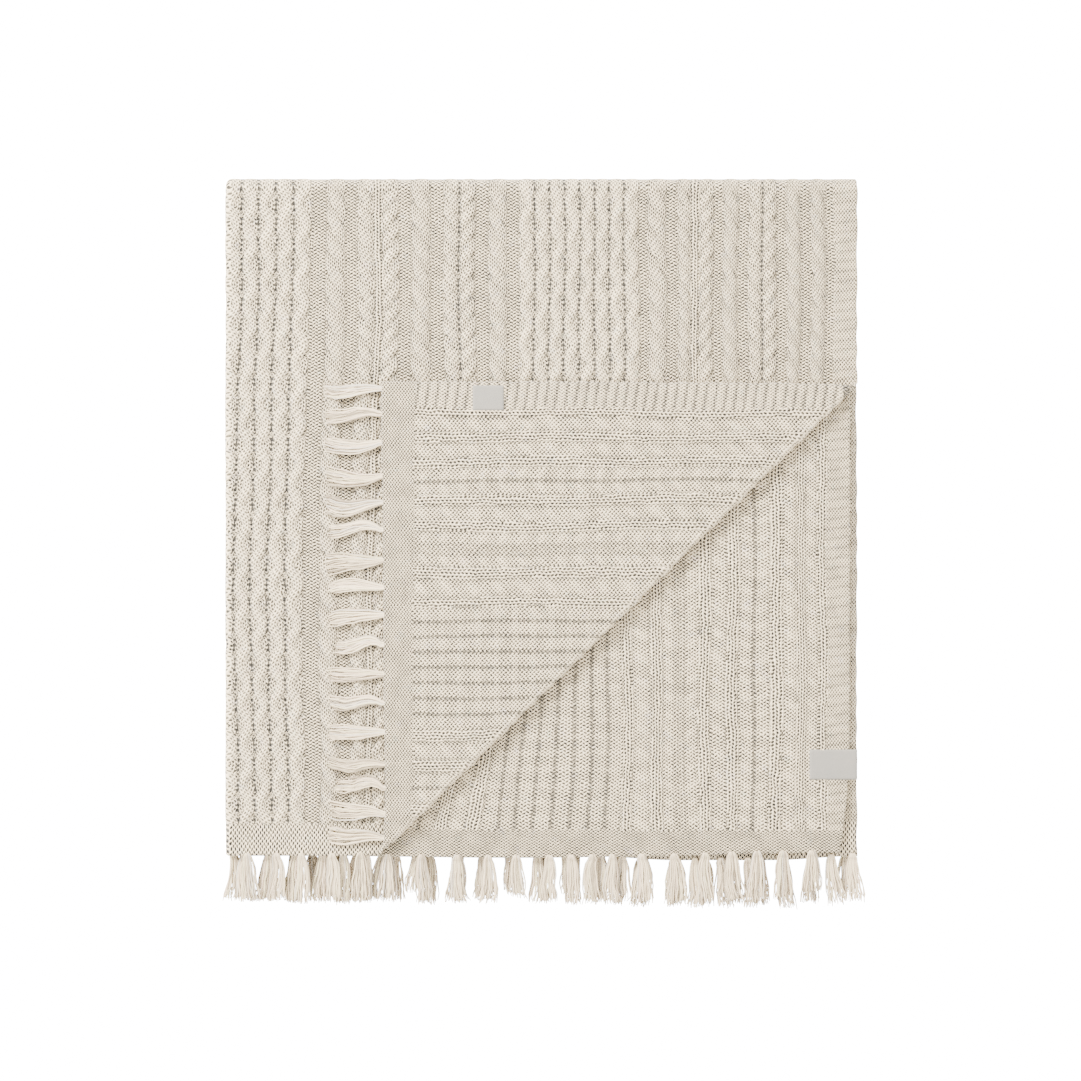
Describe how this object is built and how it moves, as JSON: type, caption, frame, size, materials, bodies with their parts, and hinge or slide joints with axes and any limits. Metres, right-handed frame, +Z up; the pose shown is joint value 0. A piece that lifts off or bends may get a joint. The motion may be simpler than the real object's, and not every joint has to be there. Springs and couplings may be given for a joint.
{
  "type": "cable knit throw blanket",
  "caption": "Chunky cable-knit cotton throw with tasselled ends, folded flat in quarters, one corner of the top layer turned back.",
  "frame": {"origin": "middle of the folded throw's footprint, fringe included, on the surface it lies on", "axes": "+X from the left fold towards the open selvedges, +Y from the fringed hems towards the top fold, +Z up"},
  "size_m": [0.6546, 0.7496, 0.0346],
  "materials": {
    "knit": "undyed cotton knit with faint coloured flecks, matt",
    "yarn": "loose cotton yarn strands, matt",
    "tape": "plain woven grey tab, blank"
  },
  "bodies": {
    "root": {"throw": "knit", "fringe_front": "yarn", "fringe_flap": "yarn", "fringe_second": "yarn", "fringe_third": "yarn", "fringe_fourth": "yarn", "label_small": "tape", "label_large": "tape"}
  },
  "joints": []
}
